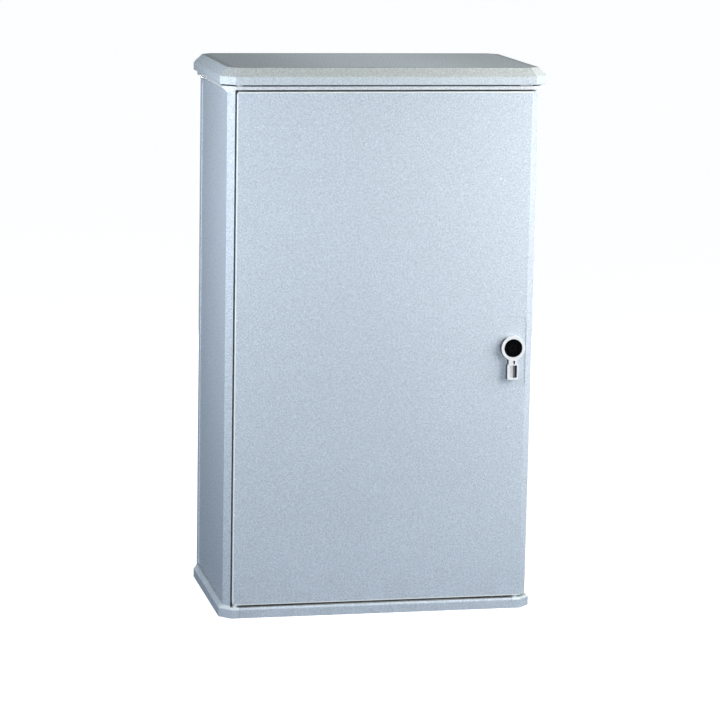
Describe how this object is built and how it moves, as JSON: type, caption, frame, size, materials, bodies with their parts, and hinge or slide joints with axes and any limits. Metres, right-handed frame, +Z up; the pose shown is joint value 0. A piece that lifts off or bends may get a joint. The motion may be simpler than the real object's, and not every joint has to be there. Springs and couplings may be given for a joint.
{
  "type": "roadside utility cabinet",
  "caption": "Tall moulded cabinet for street wiring: one hinged door with a round lock and bolt rods, overhanging roof, flared base, ventilated under the roof.",
  "frame": {"origin": "middle of the footprint, on the ground", "axes": "+Z up, -Y out of the door, +X to the right as the door is faced"},
  "size_m": [0.538, 0.314, 0.9],
  "materials": {
    "shell": "satin moulded glass-fibre polyester, light blue grey, fine mottle",
    "shell_inner": "matt moulded glass-fibre polyester",
    "black_plastic": "matt black moulded plastic",
    "white_plastic": "natural nylon",
    "rubber_seal": "matt black rubber",
    "zinc_steel": "zinc-plated steel",
    "stainless": "stainless steel"
  },
  "bodies": {
    "cabinet": {"base_frame": "shell", "corner_block_front_left": "shell", "corner_block_front_right": "shell", "corner_block_rear_left": "shell", "corner_block_rear_right": "shell", "corner_block_screws": "zinc_steel", "floor_plate": "shell_inner", "floor_plate_screws": "zinc_steel", "cable_grommets": "rubber_seal", "left_side_panel": "shell", "right_side_panel": "shell", "rear_panel": "shell", "wall_screws": "zinc_steel", "rear_corner_screws": "zinc_steel", "door_frame": "shell", "door_frame_screws": "zinc_steel", "top_frame": "shell", "roof": "shell", "roof_screws": "zinc_steel", "mounting_plate": "zinc_steel", "mounting_plate_screws": "zinc_steel", "lower_pivot_pin": "stainless", "upper_pivot_pin": "stainless", "lower_rod_keeper": "zinc_steel", "upper_rod_keeper": "zinc_steel", "keeper_screws": "zinc_steel"},
    "door": {"door": "shell", "door_seal": "rubber_seal", "lower_pivot_bush": "white_plastic", "upper_pivot_bush": "white_plastic", "lock_ring": "shell", "lock_case": "zinc_steel", "lock_cover": "zinc_steel", "lock_screws": "zinc_steel", "upper_rod_guides": "black_plastic", "lower_rod_guides": "black_plastic", "rod_guide_screws": "zinc_steel"},
    "lock_knob": {"lock_knob": "black_plastic", "lock_spindle": "zinc_steel", "lock_pinion": "zinc_steel"},
    "key_barrel": {"key_barrel": "black_plastic"},
    "upper_rod": {"upper_rod": "zinc_steel", "upper_rod_tip": "black_plastic"},
    "lower_rod": {"lower_rod": "zinc_steel", "lower_rod_tip": "black_plastic"}
  },
  "joints": [
    {"name": "door_swing", "type": "hinge", "parent": "cabinet", "child": "door", "pos_m": [-0.237, -0.139, 0.4408], "axis": [0, 0, -1], "range_deg": [0, 110]},
    {"name": "knob_turn", "type": "hinge", "parent": "door", "child": "lock_knob", "pos_m": [0.2198, -0.144, 0.4408], "axis": [0, -1, 0], "range_deg": [0, 90]},
    {"name": "key_turn", "type": "hinge", "parent": "lock_knob", "child": "key_barrel", "pos_m": [0.2198, -0.144, 0.4408], "axis": [0, -1, 0], "range_deg": [0, 90]},
    {"name": "upper_rod_slide", "type": "slide", "parent": "door", "child": "upper_rod", "axis": [0, 0, 1], "range_m": [0, 0.01257]},
    {"name": "lower_rod_slide", "type": "slide", "parent": "door", "child": "lower_rod", "axis": [0, 0, -1], "range_m": [0, 0.01258]}
  ],
  "couplings": [
    {"joint": "knob_turn", "follows": "upper_rod_slide", "rad_per_m": 125},
    {"joint": "lower_rod_slide", "follows": "upper_rod_slide", "ratio": 1}
  ]
}
